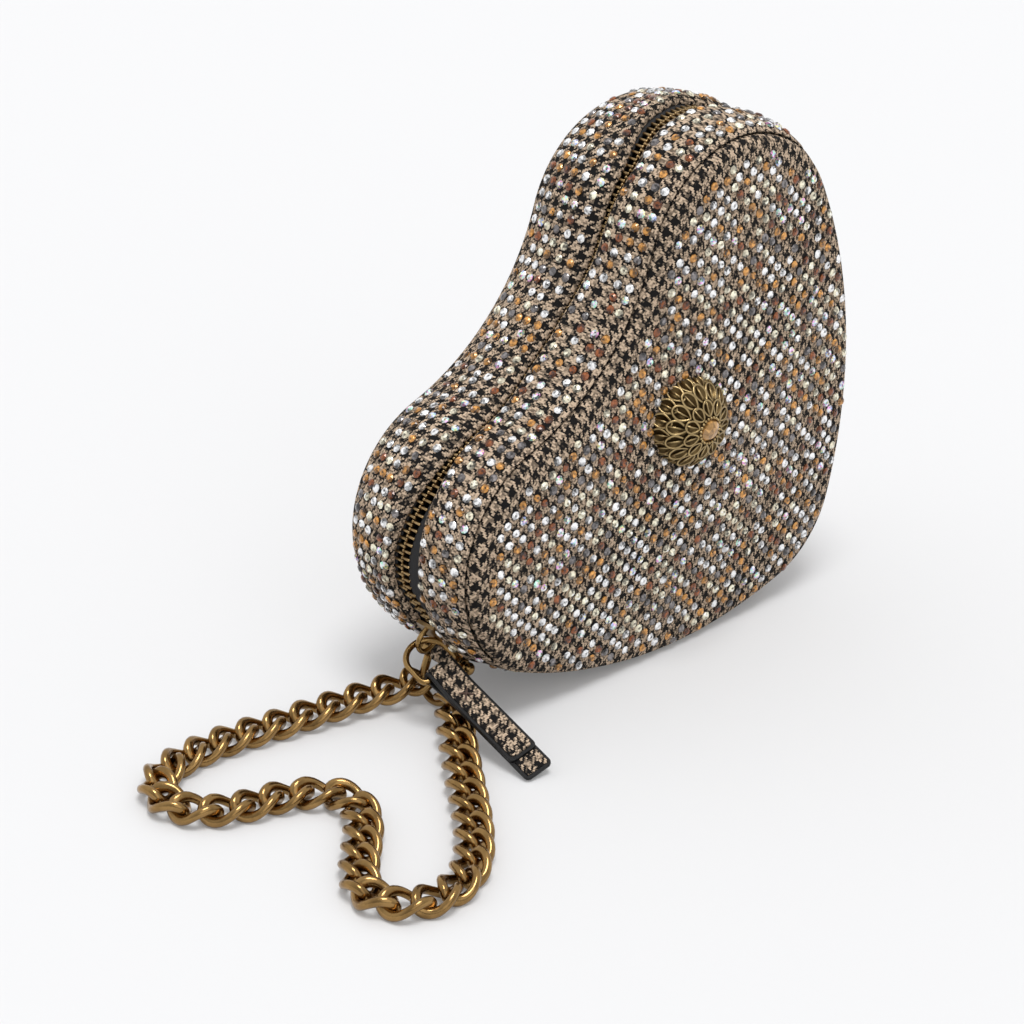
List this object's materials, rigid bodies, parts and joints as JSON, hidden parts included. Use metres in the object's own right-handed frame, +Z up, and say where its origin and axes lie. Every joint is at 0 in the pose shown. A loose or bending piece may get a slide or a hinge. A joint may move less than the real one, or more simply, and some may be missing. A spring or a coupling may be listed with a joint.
{
  "type": "heart shaped purse",
  "caption": "Stiff heart shaped purse in houndstooth cloth set with glass stones, with a zip round its lobes, a strap puller and a curb chain handle.",
  "frame": {"origin": "in the zip plane, on the flat under the long side that the purse stands on", "axes": "+Z up; the front panel faces -Y; the chain lies towards -X and the tip of the heart points to +X"},
  "size_m": [0.2551, 0.1209, 0.1632],
  "materials": {
    "houndstooth_cloth": "woven houndstooth in black and tan, set with glass stones",
    "board": "stiffening board, never seen",
    "lining": "plain woven lining",
    "zip_tape": "black woven tape",
    "zip_brass": "antique brass, worn bright on the edges",
    "strap_leather": "black leather, smooth",
    "stitch_thread": "brown waxed thread",
    "chain_brass": "antique brass, dark in the recesses",
    "medal_brass": "dark antique brass with bright edges",
    "centre_stone": "cut amber glass"
  },
  "bodies": {
    "back_shell": {"back_cover": "houndstooth_cloth", "back_board": "board", "back_lining": "lining", "back_gusset": "houndstooth_cloth", "back_zip_tape": "zip_tape", "back_zip_teeth": "zip_brass", "base_gusset": "houndstooth_cloth", "base_lining": "lining", "zip_stop": "zip_brass", "anchor_tab": "strap_leather"},
    "front_shell": {"front_cover": "houndstooth_cloth", "front_board": "board", "front_lining": "lining", "front_gusset": "houndstooth_cloth", "front_zip_tape": "zip_tape", "front_zip_teeth": "zip_brass", "medallion": "medal_brass", "medallion_stone": "centre_stone", "medallion_prongs": "medal_brass"},
    "slider": {"slider_body": "zip_brass", "slider_bail": "zip_brass"},
    "puller_ring": {"puller_ring": "zip_brass"},
    "puller_strap": {"puller_strap": "strap_leather", "strap_facing": "houndstooth_cloth", "strap_stitch": "stitch_thread"},
    "shackle": {"shackle_bow": "chain_brass", "shackle_pin": "chain_brass"},
    "chain": {"chain_back_run": "chain_brass", "chain_middle_run": "chain_brass", "chain_front_run": "chain_brass"}
  },
  "joints": [
    {"name": "shell_open", "type": "hinge", "parent": "back_shell", "child": "front_shell", "pos_m": [-0.07463, 0, 0.02095], "axis": [0.7009, 0, 0.7133], "range_deg": [0, 18], "deforming": ["base_gusset", "base_lining"]},
    {"name": "slider_travel", "type": "hinge", "parent": "back_shell", "child": "slider", "pos_m": [-0.04744, 0, 0.04862], "axis": [0, 1, 0], "range_deg": [0, 90], "deforming": ["front_zip_teeth", "back_zip_teeth"]},
    {"name": "puller_swing", "type": "hinge", "parent": "slider", "child": "puller_ring", "pos_m": [-0.08477, 0, 0.02106], "axis": [-0.6861, 0.2417, -0.6861], "range_deg": [0, 35]},
    {"name": "strap_swing", "type": "hinge", "parent": "puller_ring", "child": "puller_strap", "pos_m": [-0.08481, -0.00986, 0.01759], "axis": [-0.9506, 0.1068, -0.2915], "range_deg": [0, 40]},
    {"name": "shackle_swing", "type": "hinge", "parent": "back_shell", "child": "shackle", "pos_m": [-0.07451, 0, 0.0147], "axis": [0, 1, 0], "range_deg": [-15, 5]},
    {"name": "chain_sweep", "type": "hinge", "parent": "shackle", "child": "chain", "pos_m": [-0.0784, 0, 0.005], "axis": [0, 0, 1], "range_deg": [-5, 3]}
  ],
  "couplings": [
    {"joint": "slider_travel", "follows": "shell_open", "ratio": 5}
  ]
}
